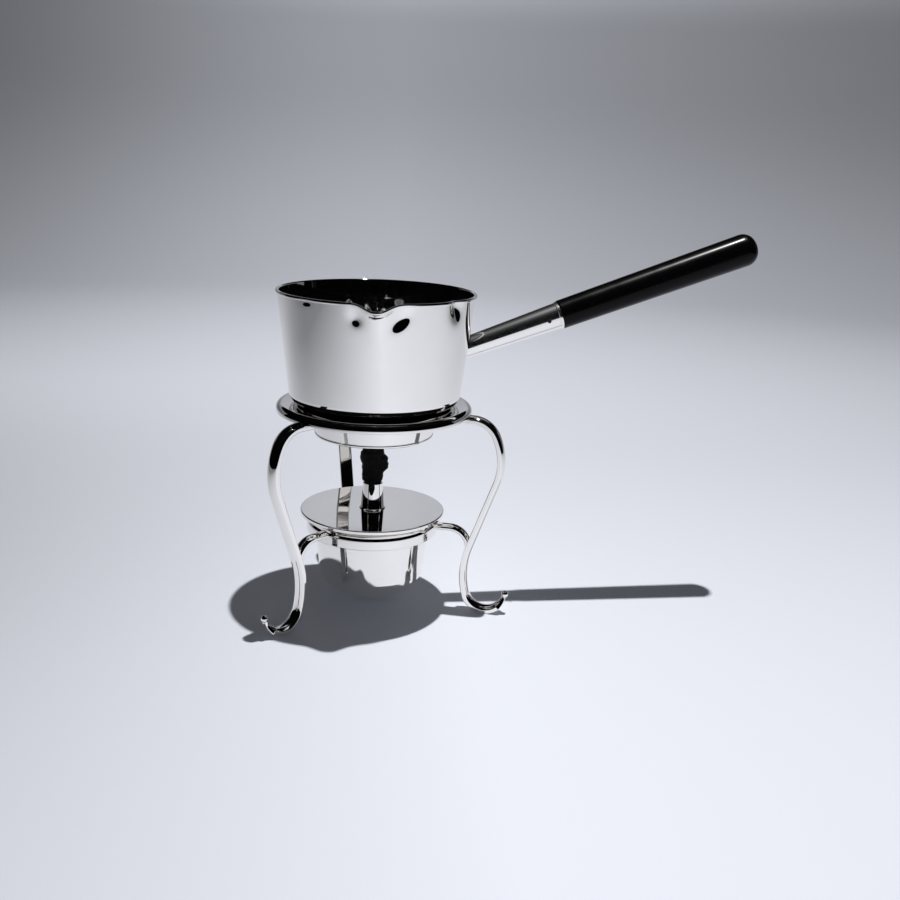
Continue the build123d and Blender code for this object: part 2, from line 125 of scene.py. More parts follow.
def moulded_phenolic():
    """Black phenolic resin, moulded and buffed: a soft sheen along the top,
    with the faint orange peel and handling scuffs of an old grip."""
    finish, tree, shader, place = new_finish("moulded_phenolic_resin")
    # scuffs in patches of about 6 mm
    scuff = add_node(tree, "TexNoise", inputs={
        "Vector": place, "Scale": 1 / (6 * MM), "Detail": 5.0})
    sheen = add_node(tree, "MapRange", inputs={
        "Value": scuff.outputs["Fac"], "From Min": 0.3, "From Max": 0.75,
        "To Min": 0.20, "To Max": 0.28})
    tone = add_node(tree, "Mix", {"data_type": "RGBA"}, {
        0: scuff.outputs["Fac"], 6: linear("#040404"), 7: linear("#080708")})
    # orange peel of about 0.8 mm
    peel = add_node(tree, "TexNoise", inputs={
        "Vector": place, "Scale": 1 / (0.8 * MM), "Detail": 2.0})
    relief = add_node(tree, "Bump", inputs={
        "Height": peel.outputs["Fac"], "Strength": 0.3, "Distance": 0.02 * MM})
    shader.inputs["Specular IOR Level"].default_value = 0.11
    tree.links.new(tone.outputs[2], shader.inputs["Base Color"])
    tree.links.new(sheen.outputs["Result"], shader.inputs["Roughness"])
    tree.links.new(relief.outputs["Normal"], shader.inputs["Normal"])
    return finish


def charred_cotton():
    """Cotton wick burnt to char: dull black, crazed, with grey ash on its
    high spots."""
    finish, tree, shader, place = new_finish("charred_cotton")
    # flakes of about 1.2 mm, threads of about 0.35 mm
    flake = add_node(tree, "TexVoronoi", inputs={"Vector": place, "Scale": 1 / (1.2 * MM)})
    thread = add_node(tree, "TexNoise", inputs={
        "Vector": place, "Scale": 1 / (0.35 * MM), "Detail": 6.0})
    ash = add_node(tree, "MapRange", inputs={
        "Value": thread.outputs["Fac"], "From Min": 0.62, "From Max": 0.8,
        "To Min": 0.0, "To Max": 0.55})
    tone = add_node(tree, "Mix", {"data_type": "RGBA"}, {
        0: ash.outputs["Result"], 6: linear("#060505"), 7: linear("#35322F")})
    height = add_node(tree, "Math", {"operation": "ADD"}, {
        0: flake.outputs["Distance"], 1: thread.outputs["Fac"]})
    relief = add_node(tree, "Bump", inputs={
        "Height": height.outputs["Value"], "Strength": 0.8, "Distance": 0.25 * MM})
    shader.inputs["Roughness"].default_value = 0.85
    shader.inputs["Specular IOR Level"].default_value = 0.3
    tree.links.new(tone.outputs[2], shader.inputs["Base Color"])
    tree.links.new(relief.outputs["Normal"], shader.inputs["Normal"])
    return finish


# painted light and shade on the backdrop, darker towards the back, the right and up the sweep,
# lighter again high on the wall: axis, where each begins and ends in metres, and its share of the
# paper's white at either end
PAPER_LIGHT_AND_SHADE = (
    ("X", 0.05, 1.60, 1.0, 0.28), ("Y", -0.24, 0.34, 1.0, 0.82), ("Y", 0.50, 2.00, 1.0, 0.81),
    ("Z", 0.0, 0.40, 1.0, 0.72), ("Z", 0.52, 0.70, 1.0, 1.64),
)


def paper_with_painted_light_and_shade():
    """Matt backdrop paper, bluish white, with painted light and shade in its colour:
    a soft gradation that falls away to grey at the back and the sides."""
    finish, tree, shader, place = new_finish("backdrop_paper_painted_light_and_shade")
    axes = add_node(tree, "SeparateXYZ", inputs={"Vector": place})
    # painted shade: the left side is darker, and darkest towards the front
    far_left_painted_shade = add_node(tree, "MapRange", {"interpolation_type": "SMOOTHSTEP"}, {
        "Value": axes.outputs["X"], "From Min": -1.15, "From Max": 0.03,
        "To Min": 0.36, "To Max": 1.0})
    near_left_painted_shade = add_node(tree, "MapRange", inputs={
        "Value": axes.outputs["X"], "From Min": -0.46, "From Max": 0.05,
        "To Min": 0.30, "To Max": 1.0})
    painted_shade_front_weight = add_node(tree, "MapRange", {"interpolation_type": "SMOOTHSTEP"}, {
        "Value": axes.outputs["Y"], "From Min": -0.05, "From Max": 0.55,
        "To Min": 1.0, "To Max": 0.0})
    left = add_node(tree, "Mix", inputs={
        0: painted_shade_front_weight.outputs["Result"],
        2: far_left_painted_shade.outputs["Result"], 3: near_left_painted_shade.outputs["Result"]})
    # share: how much of the paper's white shows through the painted light and shade
    share = left.outputs[0]
    for axis, start, end, low, high in PAPER_LIGHT_AND_SHADE:
        ramp = {"interpolation_type": "LINEAR" if axis == "X" else "SMOOTHSTEP"}
        step = add_node(tree, "MapRange", ramp, {
            "Value": axes.outputs[axis], "From Min": start, "From Max": end,
            "To Min": low, "To Max": high})
        share = add_node(tree, "Math", {"operation": "MULTIPLY"}, {
            0: share, 1: step.outputs["Result"]}).outputs["Value"]
    # the paper's bluish white, dimmed and brightened by the painted light and shade
    tone = add_node(tree, "Mix", {"data_type": "RGBA"}, {
        0: share, 6: linear("#000000"), 7: linear("#E6E9F1")})
    shader.inputs["Roughness"].default_value = 0.85
    shader.inputs["Specular IOR Level"].default_value = 0.0
    tree.links.new(tone.outputs[2], shader.inputs["Base Color"])
    return finish


def dark_sheet_painted_shade_finish():
    """A near-black sheet of painted shade: it stands in for the dark room, and gives back next to
    no light.
    """
    finish, tree, shader, place = new_finish("dark_sheet_painted_shade_finish")
    # tone varies in patches of about 3 mm
    nap = add_node(tree, "TexNoise", inputs={"Vector": place, "Scale": 1 / (3 * MM)})
    tone = add_node(tree, "Mix", {"data_type": "RGBA"}, {
        0: nap.outputs["Fac"], 6: linear("#020202"), 7: linear("#040404")})
    shader.inputs["Roughness"].default_value = 1.0
    shader.inputs["Specular IOR Level"].default_value = 0.0
    tree.links.new(tone.outputs[2], shader.inputs["Base Color"])
    return finish


SILVER = silver_plate("polished_silver_plate")
RUBBED_SILVER = silver_plate("rubbed_silver_plate", rubbed=1.0)
DARK_PIN_FINISH = dark_pin_metal()
GRIP_BLACK = moulded_phenolic()
CHAR_BLACK = charred_cotton()


# ------------------------------------------------------------- shaping helpers
LONG_RUN = 1.0      # an outline's runs longer than this stay flat
HOLD = 0.12         # how near its ends a long run is split
FINE_SEAM = 0.002   # points nearer than this are merged


def verts_of(geometry):
    """The points among an operator's results."""
    return [v for v in geometry if isinstance(v, bmesh.types.BMVert)]


def edges_of(geometry):
    """The edges among an operator's results."""
    return [e for e in geometry if isinstance(e, bmesh.types.BMEdge)]


def hold_flat(bm):
    """Split long runs of an outline near their ends, so that smooth shading
    stays flat up to the rounded corners."""
    for edge in [e for e in bm.edges if e.calc_length() > LONG_RUN]:
        start, end = edge.verts
        share = HOLD / edge.calc_length()
        bmesh.utils.edge_split(edge, start, share)
        near_end = [e for e in end.link_edges if e.calc_length() > LONG_RUN / 2]
        if near_end:
            bmesh.utils.edge_split(near_end[0], end, share)


def outline(corners, closed=True, segments=8):
    """Wire in the XZ plane through corners of radius, height and rounding."""
    bm = bmesh.new()
    points = [bm.verts.new((radius, 0, height)) for radius, height, _ in corners]
    following = points[1:] + points[:1] if closed else points[1:]
    for a, b in zip(points, following):
        bm.edges.new((a, b))
    for point, (_, _, rounding) in zip(points, corners):
        if rounding:
            bmesh.ops.bevel(bm, geom=[point], offset=rounding, segments=segments,
                            profile=0.5, affect="VERTICES", material=-1)
    return bm


def swung(bm, angle, verts=None):
    """Swing a shape, or some of its points, about the Z axis."""
    bmesh.ops.rotate(bm, cent=(0, 0, 0), verts=verts or bm.verts,
                     matrix=Matrix.Rotation(math.radians(angle), 3, "Z"))
    return bm


def spun(bm, steps):
    """Spin an outline right round the Z axis."""
    bmesh.ops.spin(bm, geom=bm.verts[:] + bm.edges[:], cent=(0, 0, 0), axis=UP,
                   angle=math.tau, steps=steps, use_merge=True)
    return bm


def turned(corners, closed=True, steps=192):
    """Piece turned on a lathe, with the Z axis as its centre."""
    bm = outline(corners, closed)
    hold_flat(bm)
    return spun(bm, steps)


def in_metres(name, bm):
    """Turn a finished shape to metres, as a mesh."""
    bmesh.ops.scale(bm, vec=(MM, MM, MM), verts=bm.verts)
    mesh = bpy.data.meshes.new(name)
    bm.to_mesh(mesh)
    bm.free()
    return mesh


def set_out(name, data):
    """Set a mesh, a lamp or a camera out in the scene."""
    thing = bpy.data.objects.new(name, data)
    bpy.context.scene.collection.objects.link(thing)
    return thing


def finished(name, bm, finish, body, slot, *nodes, crease=38):
    """Close a shaped piece, turn it to metres and hang it on its body."""
    bmesh.ops.remove_doubles(bm, verts=bm.verts, dist=FINE_SEAM)
    bmesh.ops.recalc_face_normals(bm, faces=bm.faces)
    mesh = in_metres(name, bm)
    mesh.shade_smooth()
    mesh.set_sharp_from_angle(angle=math.radians(crease))
    mesh.materials.append(finish)
    piece = set_out(name, mesh)
    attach(piece, body)
    if nodes:
        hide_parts(*nodes)
    return piece


def in_silver(name, bm, body, *nodes, finish=SILVER):
    """Finish a piece of silver plate."""
    return finished(name, bm, finish, body, "silver_plate", *nodes)


# ------------------------------------------------------------------ the stand
PLATE_TOP = 103.0
PLATE_RADIUS = 47.5
PLATE_BORE = 29.6
PLATE_SHEET = 1.0
PLATE_UNDER = PLATE_TOP - PLATE_SHEET
SKIRT_FOOT = 98.9
in_silver("plate_with_turned_edge", turned([
    (PLATE_BORE, PLATE_TOP, 0.2), (PLATE_RADIUS, PLATE_TOP, 3.0),
    (PLATE_RADIUS, SKIRT_FOOT, 0.35), (PLATE_RADIUS - PLATE_SHEET, SKIRT_FOOT, 0.3),
    (PLATE_RADIUS - PLATE_SHEET, PLATE_UNDER, 2.0), (PLATE_BORE, PLATE_UNDER, 0.2),
]), "stand", "top_plate")

COLLAR_FLANGE = 36.5
COLLAR_FOOT = 87.0
COLLAR_ROLL = COLLAR_FOOT + 1.5
COLLAR_SHEET = 0.8
in_silver("flame_collar_with_rolled_foot", turned([
    (COLLAR_FLANGE, PLATE_UNDER, 0), (31.0, PLATE_UNDER, 0), (27.8, COLLAR_FOOT + 1.2, 0.3),
    (27.5, COLLAR_FOOT, 0.7), (29.0, COLLAR_FOOT, 0.7), (29.0, COLLAR_ROLL, 0.7),
    (28.7, COLLAR_ROLL, 0.1), (31.67, PLATE_UNDER - COLLAR_SHEET, 0.3),
    (COLLAR_FLANGE, PLATE_UNDER - COLLAR_SHEET, 0),
]), "stand", "heat_collar")

RING_TOP, RING_FOOT = 45.4, 38.0
RING_RADIUS, RING_BORE = 32.5, 28.9
RING_SHEET = 1.2
in_silver("ring_for_the_burner", turned([
    (RING_BORE, RING_TOP, 0.2), (RING_RADIUS, RING_TOP, 3.5), (RING_RADIUS, RING_FOOT, 0.35),
    (RING_RADIUS - RING_SHEET, RING_FOOT, 0.3),
    (RING_RADIUS - RING_SHEET, RING_TOP - RING_SHEET, 2.3),
    (RING_BORE, RING_TOP - RING_SHEET, 0.2),
]), "stand", "burner_ring")

LEG_ANGLES = {"right": -14.7, "back": 105.3, "front_left": 225.3}
BAR_DOME = 1.5
BAR_ROUNDING = 0.4
DOME_HALF_STEPS = 6


def bar_end(width, thick, reach, height):
    """Face in the half-round bar's section, looking outwards: flat below and
    domed above. Also gives its rim, which the bends carry on."""
    bm = bmesh.new()
    side = thick / 2 - BAR_DOME
    dome = (width ** 2 / 4 + BAR_DOME ** 2) / (2 * BAR_DOME)
    half = math.asin(width / 2 / dome)
    across = [(-width / 2, -thick / 2), (width / 2, -thick / 2)]
    across += [(dome * math.sin(a), side + BAR_DOME - dome + dome * math.cos(a))
               for a in (half * (1 - i / DOME_HALF_STEPS) for i in range(2 * DOME_HALF_STEPS + 1))]
    points = [bm.verts.new((reach, y, height + z)) for y, z in across]
    for a, b in zip(points, points[1:] + points[:1]):
        bm.edges.new((a, b))
    for corner in (points[0], points[1], points[2], points[-1]):
        bmesh.ops.bevel(bm, geom=[corner], offset=BAR_ROUNDING, segments=4, profile=0.5,
                        affect="VERTICES", material=-1)
    hold_flat(bm)
    bmesh.ops.contextual_create(bm, geom=bm.edges[:])
    return bm, bm.edges[:] + bm.verts[:]


def turned_on(place, centre, turn):
    """A point of the bar's upright plane, turned about a bend's centre."""
    c, s = math.cos(math.radians(turn)), math.sin(math.radians(turn))
    x, z = place[0] - centre[0], place[1] - centre[1]
    return centre[0] + x * c - z * s, centre[1] + x * s + z * c


def bend(bm, ring, place, heading, radius, turn, narrow=1.0):
    """Carry the bar's end round a bend, upwards for a positive turn, and
    narrow it on the way."""
    sense = math.copysign(1, turn)
    centre = (place[0] - sense * radius * math.sin(math.radians(heading)),
              place[1] + sense * radius * math.cos(math.radians(heading)))
    steps = max(6, round(abs(turn) / 2.0))
    if narrow == 1.0:
        ring = bmesh.ops.spin(bm, geom=ring, cent=(centre[0], 0, centre[1]), axis=(0, -1, 0),
                              angle=math.radians(turn), steps=steps)["geom_last"]
        return ring, turned_on(place, centre, turn), heading + turn
    share = narrow ** (1 / steps)
    for _ in range(steps):
        ring = bmesh.ops.spin(bm, geom=ring, cent=(centre[0], 0, centre[1]), axis=(0, -1, 0),
                              angle=math.radians(turn / steps), steps=1)["geom_last"]
        place = turned_on(place, centre, turn / steps)
        heading += turn / steps
        bmesh.ops.scale(bm, vec=(math.sqrt(share), share, math.sqrt(share)), verts=verts_of(ring),
                        space=Matrix.Translation((-place[0], 0, -place[1])))
    return ring, place, heading


def straight(bm, ring, place, heading, length):
    """Carry the bar's end straight on."""
    step = Vector((math.cos(math.radians(heading)), 0, math.sin(math.radians(heading)))) * length
    grown = bmesh.ops.extrude_edge_only(bm, edges=edges_of(ring))["geom"]
    ends = verts_of(grown)
    bmesh.ops.translate(bm, vec=step, verts=ends)
    ring = ends + [e for e in edges_of(grown) if all(v in ends for v in e.verts)]
    return ring, (place[0] + step.x, place[1] + step.z)


def capped(bm, ring):
    """Close the bar's end with a face."""
    bmesh.ops.contextual_create(bm, geom=edges_of(ring))


# bends of a leg: radius, and turn upwards
SHOULDER, FLANK, CALF = (13.0, -65.0), (31.7, -44.5), (41.0, 35.0)
SHIN_HEADING = SHOULDER[1] + FLANK[1]
LEG_WIDTH, LEG_THICK = 6.8, 3.6
LEG_TOP = SKIRT_FOOT + 1.4 - LEG_THICK / 2
LEG_START = 30.75
SHELF_END = PLATE_RADIUS + 1.45
FOOT_RADIUS, FOOT_FLAT = 10.0, 0.12
CURL_TURN, TIP_TURN, TIP_NARROWING = 115.0, 34.0, 0.3
BALL_RADIUS, BALL_REACH = 1.75, 1.4


def leg_shin():
    """Length of the straight shin that sets the foot on the table."""
    heading, lost = 0.0, 0.0
    for radius, turn in (SHOULDER, FLANK, CALF, (FOOT_RADIUS, -SHIN_HEADING - CALF[1])):
        lost += math.copysign(radius, turn) * (
            math.cos(math.radians(heading + turn)) - math.cos(math.radians(heading)))
        heading += turn
    fall = LEG_TOP - (LEG_THICK / 2 - FOOT_FLAT)
    return (fall - lost) / -math.sin(math.radians(SHIN_HEADING))


def leg():
    """S-shaped leg: shelf under the plate, shoulder, flank, shin, calf, and a
    foot that curls up to a small ball. Also gives the top of its shin."""
    place, heading = (LEG_START, LEG_TOP), 0.0
    bm, ring = bar_end(LEG_WIDTH, LEG_THICK, *place)
    ring, place = straight(bm, ring, place, heading, SHELF_END - LEG_START)
    for radius, turn in (SHOULDER, FLANK):
        ring, place, heading = bend(bm, ring, place, heading, radius, turn)
    knee = place
    ring, place = straight(bm, ring, place, heading, leg_shin())
    for radius, turn in (CALF, (FOOT_RADIUS, CURL_TURN)):
        ring, place, heading = bend(bm, ring, place, heading, radius, turn)
    ring, place, heading = bend(bm, ring, place, heading, FOOT_RADIUS, TIP_TURN, TIP_NARROWING)
    capped(bm, ring)
    ball = Vector((place[0] + BALL_REACH * math.cos(math.radians(heading)), 0,
                   place[1] + BALL_REACH * math.sin(math.radians(heading))))
    bmesh.ops.create_uvsphere(bm, u_segments=32, v_segments=20, radius=BALL_RADIUS,
                              matrix=Matrix.Translation(ball))
    # the flat that stands on the table
    low = bmesh.ops.bisect_plane(bm, geom=bm.verts[:] + bm.edges[:] + bm.faces[:],
                                 plane_co=(0, 0, 0), plane_no=(0, 0, -1), clear_outer=True)
    capped(bm, low["geom_cut"])
    return bm, knee


ARM_WIDTH, ARM_THICK = 5.6, 2.8
ARM_START, ARM_HEIGHT = 31.9, 43.1
ARM_RADIUS, ARM_TURN = 9.5, -85.0
ARM_INSIDE = 0.9    # how far inside the shin's line the arm comes down
ARM_TAIL = 1.6


def arm(knee):
    """Short bar from the burner ring to the inside of the leg's shin."""
    foot = ARM_HEIGHT - ARM_RADIUS * (1 - math.cos(math.radians(ARM_TURN)))
    shin = knee[0] + (foot - knee[1]) / math.tan(math.radians(SHIN_HEADING))
    reach = shin - ARM_INSIDE - ARM_RADIUS * math.sin(math.radians(-ARM_TURN))
    place, heading = (ARM_START, ARM_HEIGHT), 0.0
    bm, ring = bar_end(ARM_WIDTH, ARM_THICK, *place)
    ring, place = straight(bm, ring, place, heading, reach - ARM_START)
    ring, place, heading = bend(bm, ring, place, heading, ARM_RADIUS, ARM_TURN)
    ring, place = straight(bm, ring, place, heading, ARM_TAIL)
    capped(bm, ring)
    return bm


for side, angle in LEG_ANGLES.items():
    leg_shape, knee = leg()
    in_silver("scrolled_leg_" + side, swung(leg_shape, angle), "stand", "leg_" + side)
    in_silver("bracket_arm_" + side, swung(arm(knee), angle), "stand", "arm_" + side)

# ----------------------------------------------------------------- the burner
CUP_FOOT, CUP_SHOULDER, CUP_RIM = 8.0, 40.0, 47.0
CUP_BASE_RADIUS, CUP_RADIUS, CUP_FLANGE = 25.0, 28.4, 31.6
CUP_SHEET = 1.0
in_silver("fuel_cup", turned([
    (0, CUP_FOOT, 0), (CUP_BASE_RADIUS, CUP_FOOT, 9.0), (CUP_RADIUS, CUP_SHOULDER, 1.5),
    (CUP_RADIUS, RING_TOP, 0), (CUP_FLANGE, RING_TOP, 0.4), (CUP_FLANGE, CUP_RIM, 0.4),
    (CUP_RADIUS - CUP_SHEET, CUP_RIM, 0), (CUP_RADIUS - CUP_SHEET, CUP_SHOULDER, 0),
    (CUP_BASE_RADIUS - CUP_SHEET, CUP_FOOT + CUP_SHEET, 8.0), (0, CUP_FOOT + CUP_SHEET, 0),
], closed=False), "burner", "burner_cup")

LID_TOP, LID_RADIUS, LID_BORE = 48.8, 35.6, 5.7
in_silver("flat_burner_lid", turned([
    (LID_BORE, CUP_RIM, 0), (LID_RADIUS, CUP_RIM, 0.2), (LID_RADIUS, LID_TOP, 0.5),
    (LID_BORE, LID_TOP, 0),
]), "lid", "burner_lid")

# the tube stands in a thin fillet of solder
TUBE_TOP, TUBE_FOOT = 62.2, 38.0
TUBE_BORE, TUBE_RADIUS, SOLDER_RADIUS = 4.1, 5.8, 6.5
in_silver("tapered_wick_tube", turned([
    (TUBE_BORE, TUBE_FOOT, 0), (TUBE_RADIUS, TUBE_FOOT, 0), (TUBE_RADIUS, LID_TOP - 0.1, 0),
    (SOLDER_RADIUS, LID_TOP - 0.1, 0), (SOLDER_RADIUS, LID_TOP + 0.1, 0),
    (5.75, LID_TOP + 0.7, 0.3), (4.9, TUBE_TOP, 0.27), (TUBE_BORE, TUBE_TOP, 0.2),
], steps=128), "lid", "wick_tube")

WICK_RADIUS, HEAD_RADIUS, TAIL_RADIUS = 4.0, 4.4, 3.6
TAIL_TOP, TAIL_FOOT, TAIL_CURL = 38.2, 21.8, 8
# lumps of char: height above the tube, offset along X and Y, and half widths
CHAR_FOOT, CHAR_RISE = 62.6, 18.5
CHAR = (
    (0.0, -0.2, 0.0, 4.4, 4.3), (1.5, -0.4, -0.3, 5.0, 5.0), (4.8, -0.3, -0.2, 5.2, 5.0),
    (7.8, 0.9, 0.0, 6.5, 5.6), (12.0, 0.5, -0.1, 6.7, 5.7), (14.2, -0.5, 0.1, 5.8, 5.2),
    (16.6, 0.1, 0.2, 5.0, 4.6), (CHAR_RISE, 0.1, 0.2, 4.2, 3.8),
)
CHAR_SEED = Vector((7.3, 2.1, 4.7))
# how coarse the lumps are, from large to small, and how far each stands out
CHAR_LUMPS = ((0.42, 0.55), (1.1, 0.3), (2.6, 0.14))


def char_lump(height):
    """Offset and half widths of the char at a height above its foot."""
    for low, high in zip(CHAR, CHAR[1:]):
        if height <= high[0]:
            share = (height - low[0]) / (high[0] - low[0])
            share = share * share * (3 - 2 * share)
            return [a + (b - a) * share for a, b in zip(low[1:], high[1:])]
    return CHAR[-1][1:]


def roughen_head(vert):
    """Move a point of the wick's head out to the lumps of char."""
    height = vert.co.z - CHAR_FOOT
    if height <= 0.1:
        return
    x, y, half_x, half_y = char_lump(height)
    out = Vector((vert.co.x, vert.co.y, 0)) / HEAD_RADIUS
    rough = Vector((out.x * 4, out.y * 4, height)) + CHAR_SEED
    lump = sum(stands * noise.noise(rough * coarse) for coarse, stands in CHAR_LUMPS)
    ease = min(1.0, height / 1.5)
    vert.co.x = x + out.x * (half_x + lump * ease)
    vert.co.y = y + out.y * (half_y + lump * ease)
    if height > CHAR_RISE - 0.1:
        vert.co.z -= 1.2 * out.length ** 3 - 0.5 * noise.noise(rough * 0.9) * (1 - out.length)


def hang_tongue(bm):
    """Hang a tongue of char, narrower at its tip, over the tube's front."""
    for vert in bmesh.ops.create_uvsphere(bm, u_segments=32, v_segments=24, radius=1.0)["verts"]:
        x, y, z = vert.co
        taper = 1 - 0.35 * max(0.0, -z)
        vert.co = (-0.6 + 1.6 * x * taper, -5.3 + 0.85 * y - 0.25 * z, CHAR_FOOT - 2.2 + 4.0 * z)
        vert.co += Vector((0, 1, 0)) * 0.3 * noise.noise(vert.co * 0.8)


def hang_tail(bm):
    """Hang the wick's tail into the fuel, curled over the cup's floor."""
    ring = bmesh.ops.create_circle(bm, segments=32, radius=TAIL_RADIUS,
                                   matrix=Matrix.Translation((0, 0, TAIL_TOP)))["verts"]
    edges = list(dict.fromkeys(e for v in ring for e in v.link_edges))
    bmesh.ops.contextual_create(bm, geom=edges)
    last, _ = straight(bm, edges, (0, TAIL_TOP), -90.0, TAIL_TOP - TAIL_FOOT)
    last = bmesh.ops.spin(bm, geom=last, cent=(TAIL_CURL, 0, TAIL_FOOT), axis=(0, -1, 0),
                          angle=math.radians(90), steps=24)["geom_last"]
    capped(bm, last)


def wick():
    """Cotton wick: a soaked tail that curls on the cup's floor, a plain run up
    the tube, and a lumpy head of char."""
    bm = outline([
        (0, TUBE_FOOT, 0), (TAIL_RADIUS, TUBE_FOOT, 0), (WICK_RADIUS, TUBE_FOOT + 1, 0),
        (WICK_RADIUS, CHAR_FOOT, 0), (HEAD_RADIUS, CHAR_FOOT + 0.2, 0),
        (HEAD_RADIUS, CHAR_FOOT + CHAR_RISE, 0), (0, CHAR_FOOT + CHAR_RISE, 0),
    ], closed=False)
    head = [e for e in bm.edges
            if min(v.co.z for v in e.verts) > CHAR_FOOT and e.calc_length() > 3]
    upright = [e for e in head if e.verts[0].co.x == e.verts[1].co.x]
    bmesh.ops.subdivide_edges(bm, edges=upright, cuts=60)
    level = [e for e in head if e.is_valid and e.calc_length() > 3]
    bmesh.ops.subdivide_edges(bm, edges=level, cuts=14)
    spun(bm, 96)
    bmesh.ops.remove_doubles(bm, verts=bm.verts, dist=FINE_SEAM / 2)
    for vert in bm.verts:
        roughen_head(vert)
    hang_tongue(bm)
    hang_tail(bm)
    return bm


finished("charred_wick", wick(), CHAR_BLACK, "wick", "charred_wick", "wick", crease=60)

# -------------------------------------------------------------------- the pan
PAN_BASE, PAN_TOP = 103.0, 156.8
PAN_SHEET = 1.1
WALL_FOOT, WALL_HEAD = 40.87, 47.0
BEAD_RADIUS, BEAD_HEIGHT = 47.5, 1.5
BEAD_FOOT = PAN_TOP - BEAD_HEIGHT
LIP_REACH, LIP_DIP = 4.8, 2.8
LIP_HALF_WIDTH = 6.9
# the part of the wall that is drawn: how far round from the lip, how far down
# from the rim, and where the drawing runs out
DRAWN_ROUND, DRAWN_DOWN, DRAWN_OUT = 52, 24, 22
# the pan is spun in two runs of degrees and steps, finely where the lip is
FINE_START = -148
PAN_RUNS = ((116, 216), (244, 122))
# dents: place along the rim from the lip, depth below it, how deep, how wide,
# how high, and how far each leans over
DENTS = ((-8.6, 6.0, 0.90, 2.6, 2.9, 0.0), (10.8, 6.4, 1.45, 2.8, 3.3, 0.45),
         (-33.8, 1.2, 0.45, 3.4, 1.7, 0.0), (41.4, 2.0, 2.1, 3.3, 4.6, 0.0))


def pan_wall(height):
    """Radius of the pan's outer wall at a height."""
    return WALL_FOOT + (WALL_HEAD - WALL_FOOT) * (height - PAN_BASE) / (PAN_TOP - PAN_BASE)


def draw_out_lip(vert):
    """Move a point of the wall as the lip is drawn out of it: forwards, and
    down at the rim, with a dent at either side where the tool held the wall."""
    angle = math.atan2(vert.co.x, -vert.co.y)
    along = angle * pan_wall(vert.co.z)
    below = PAN_TOP - vert.co.z
    on_floor = math.hypot(vert.co.x, vert.co.y) < 38
    if abs(along) > DRAWN_ROUND or below > DRAWN_DOWN or on_floor:
        return
    narrow = LIP_HALF_WIDTH * (1 - 0.025 * below)
    swell = math.exp(-(abs(along) / narrow) ** 2.4)
    under_bead = max(0.0, below - BEAD_HEIGHT)
    fade = max(0.0, 1 - (below / DRAWN_OUT) ** 3)
    vert.co.y -= LIP_REACH * swell * math.exp(-under_bead / 4.5) * fade
    inward = Vector((-vert.co.x, -vert.co.y, 0)).normalized()
    for at, depth, deep, wide, high, lean_over in DENTS:
        across = (along - at + lean_over * (below - depth)) / wide
        vert.co += inward * deep * math.exp(-across ** 2 / 2 - ((below - depth) / high) ** 2 / 2)
    vert.co.z -= LIP_DIP * swell * math.exp(-under_bead / 7.0) * fade


def pan():
    """Raised pan with a beaded rim, turned finely where the lip is drawn."""
    bm = outline([
        (0, PAN_BASE, 0), (WALL_FOOT, PAN_BASE, 5.2), (pan_wall(BEAD_FOOT), BEAD_FOOT, 0),
        (BEAD_RADIUS, BEAD_FOOT, 0.5), (BEAD_RADIUS, PAN_TOP, 0.7),
        (WALL_HEAD - PAN_SHEET, PAN_TOP, 0.6),
        (WALL_FOOT - PAN_SHEET, PAN_BASE + PAN_SHEET, 4.2), (0, PAN_BASE + PAN_SHEET, 0),
    ], closed=False)
    hold_flat(bm)
    walls = [e for e in bm.edges if abs(e.verts[0].co.z - e.verts[1].co.z) > 20]
    bmesh.ops.subdivide_edges(bm, edges=walls, cuts=70)
    swung(bm, FINE_START)
    ring = bm.verts[:] + bm.edges[:]
    for reach, steps in PAN_RUNS:
        ring = bmesh.ops.spin(bm, geom=ring, cent=(0, 0, 0), axis=UP,
                              angle=math.radians(reach), steps=steps)["geom_last"]
    bmesh.ops.remove_doubles(bm, verts=bm.verts, dist=FINE_SEAM)
    for vert in bm.verts:
        draw_out_lip(vert)
    return bm


in_silver("pan_with_drawn_lip", pan(), "pan", "pan_body")

# ----------------------------------------------------------------- the handle
rise, swing = math.radians(20.0), math.radians(6.0)
ROOT_HEIGHT = PAN_BASE + 26.9
handle_out = Vector((math.cos(swing), math.sin(swing), 0))
handle_across = Vector((math.sin(swing), -math.cos(swing), 0))
handle_along = handle_out * math.cos(rise) + UP * math.sin(rise)
handle_root = handle_out * pan_wall(ROOT_HEIGHT) + UP * ROOT_HEIGHT


def laid_along(bm, origin, axis, side):
    """Set a turned piece with its Z axis along an axis of the handle."""
    stance = Matrix((side, axis.cross(side), axis)).transposed().to_4x4()
    bmesh.ops.transform(bm, matrix=Matrix.Translation(origin) @ stance, verts=bm.verts)
    return bm


SOCKET_LENGTH = 48.8
SOCKET_START = -3.8
BAND_FOOT, BAND_RADIUS = SOCKET_LENGTH - 1.5, 6.75


def socket():
    """Conical tube with a band at its far end, cut to end in the pan's sheet."""
    bm = laid_along(turned([
        (4.29, SOCKET_START, 0), (5.09, SOCKET_START, 0), (6.5, BAND_FOOT - 0.1, 0),
        (BAND_RADIUS, BAND_FOOT, 0.1), (BAND_RADIUS, SOCKET_LENGTH, 0.35),
        (5.75, SOCKET_LENGTH, 0),
    ], steps=128), handle_root, handle_along, handle_across)
    lean = math.atan((WALL_HEAD - WALL_FOOT) / (PAN_TOP - PAN_BASE))
    wall_out = handle_out * math.cos(lean) - UP * math.sin(lean)
    cut = bmesh.ops.bisect_plane(bm, geom=bm.verts[:] + bm.edges[:] + bm.faces[:],
                                 plane_co=handle_root - wall_out * 0.4, plane_no=-wall_out,
                                 clear_outer=True)
    bmesh.ops.holes_fill(bm, edges=edges_of(cut["geom_cut"]))
    return bm


in_silver("conical_handle_socket", socket(), "pan", "handle_socket", finish=RUBBED_SILVER)

